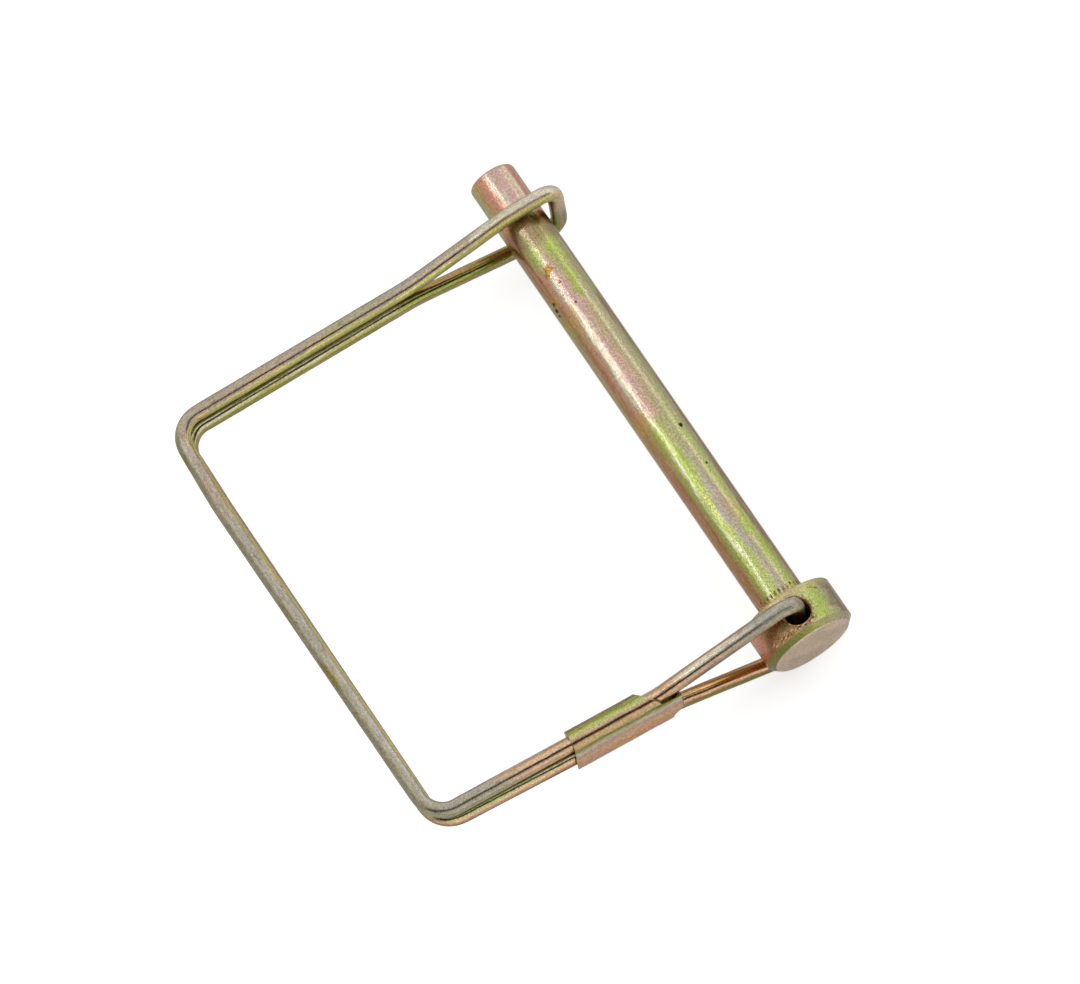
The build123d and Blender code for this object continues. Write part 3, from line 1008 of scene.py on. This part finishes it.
def ferrule_finish():
    """Bands along the sheet: green and gold over the front strand, pink on the flat facet."""
    finish = Finish("plated_ferrule")
    lie = finish.lie()
    along = finish.scaled(lie, (1.0, 1.0, 0.12))
    around, depth, _ = finish.parts(lie)
    wobble = finish.noise(lie, (0.6, 1.0, 0.2), 3.0, 0.55)
    across = finish.plus(around, finish.sway(wobble, 0.2))
    share = finish.math("DIVIDE", finish.plus(across, 5.0), 10.0)
    colour = finish.ramp(share, [
        (0.0, TAN), (0.16, OLIVE), (0.20, MOSS), (0.235, OLIVE), (0.265, LIME), (0.29, LEMON),
        (0.33, TAN), (0.36, COPPER), (0.40, TAN), (0.44, GOLD), (0.47, SAND), (0.49, OLIVE),
        (0.515, MOSS), (0.545, CREAM), (0.60, BLUSH), (0.66, PEACH), (0.76, CORAL), (0.82, TAN),
        (0.90, GOLD), (1.0, MOSS),
    ])
    streak = finish.noise(along, 1.5, 3.0, 0.6)
    on_facet = finish.spread(around, 0.2, 0.7)
    gilt = finish.times(finish.spread(streak, 0.52, 0.64), finish.spread(on_facet, 0.0, 1.0, 0.3, 0.6))
    colour = finish.mix(gilt, colour, GOLD)
    rosy = finish.times(finish.fade(streak, 0.34, 0.46), on_facet)
    colour = finish.laid(colour, BLUSH, rosy, 0.6)
    colour = finish.mix(finish.spread(depth, 0.05, 0.3), colour, OLIVE)
    return plate(finish, colour, along, lie, roughness=0.16, dent=0.012)


# ---------------------------------------------------------------- floor and light

ROOM_LEVEL = 1.15
WALL_SHADE = 0.28
GAP_Y = -0.40
GAP_HALF = 0.19
GAP_SHADE = 0.97
FLOOR_HALF = 3000.0
FLOOR_GLOW = 0.55
PAPER = (0.90, 0.90, 0.90, 1.0)
PAPER_CLOUD = (0.86, 0.86, 0.86, 1.0)
BOUNCED = (0.86, 0.85, 0.83, 1.0)
WHITE = (1.0, 1.0, 1.0, 1.0)


def make_floor():
    """A pale sheet that glows a little where it is seen, and only bounces light elsewhere."""
    corners = [(x * FLOOR_HALF, y * FLOOR_HALF, floor_z) for x, y in ((-1, -1), (1, -1), (1, 1), (-1, 1))]
    floor = mesh_object("floor", corners, [(0, 1, 2, 3)], smooth=False)
    finish = Finish("pale_floor")
    cloud = finish.noise(finish.node("TexCoord", output=3), 8.0, 4.0, 0.5)
    paper = finish.node("BsdfDiffuse", {"Color": finish.mix(cloud, PAPER, PAPER_CLOUD)})
    glow = finish.node("Emission", {"Color": WHITE, "Strength": FLOOR_GLOW})
    lit = finish.node("AddShader", {0: paper, 1: glow})
    seen = finish.node("LightPath", output=0)
    dim = finish.node("BsdfDiffuse", {"Color": BOUNCED})
    floor.data.materials.append(finish.done(finish.node("MixShader", {0: seen, 1: dim, 2: lit})))


def make_world():
    """An even pale room, with a dark gap between the lights where the camera looks in."""
    room = Finish("room", "World")
    x, y, z = room.parts(room.node("TexCoord"))
    in_gap = room.fade(room.off(y, GAP_Y), GAP_HALF * 0.6, GAP_HALF * 1.4)
    in_gap = room.times(in_gap, room.spread(z, 0.35, 0.55))
    left_wall = room.spread(x, -0.35, -0.75)
    level = room.minus(ROOM_LEVEL, room.times(left_wall, ROOM_LEVEL * WALL_SHADE))
    level = room.times(level, room.minus(1.0, room.times(in_gap, GAP_SHADE)))
    bpy.context.scene.world = room.done(room.node("Background", {"Strength": level}))


def softbox(name, centre, width, length, brightness):
    """A rectangular area light, its length along X, turned to the object; brightness 1 is a white wall."""
    data = bpy.data.lights.new(name, "AREA")
    data.shape = "RECTANGLE"
    data.size = length * MM
    data.size_y = width * MM
    data.energy = brightness * math.pi * data.size * data.size_y
    light = bpy.data.objects.new(name, data)
    middle = (cad_box[0] + cad_box[1]) / 2
    across = Vector((1, 0, 0))
    away = Vector(centre) * MM - middle
    towards = (away - away.dot(across) * across).normalized()
    pose = Matrix((across, towards.cross(across), towards)).transposed().to_4x4()
    pose.translation = Vector(centre) * MM
    light.matrix_world = pose
    bpy.context.scene.collection.objects.link(light)


def make_lights():
    """A long bar of light to the left, whose reflection draws the bright line down the shank, and a wide
    soft one to the right."""
    softbox("key_bar", centre=(-370, 231, 540), width=12, length=460, brightness=8.5)
    softbox("side_box", centre=(790, 330, 560), width=200, length=330, brightness=0.65)


# ---------------------------------------------------------------- the scene

make_camera()
make_world()
make_lights()
make_floor()

wire = make_wire()
wire.data.materials.append(wire_finish())
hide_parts("bail_wire", "latch_wire")
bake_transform(wire)

ferrule = make_ferrule()
ferrule.data.materials.append(ferrule_finish())
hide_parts("wire_ferrule")
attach(ferrule, "bail")

burrs = make_burrs()
burrs.data.materials.append(burr_finish())
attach(burrs, "pin")

for name, finish in (("pin_shank", shank_finish), ("pin_head", head_finish)):
    piece = frame["nodes"][name]
    piece.data.materials.clear()
    piece.data.materials.append(finish())

bpy.context.scene.view_settings.view_transform = "Standard"
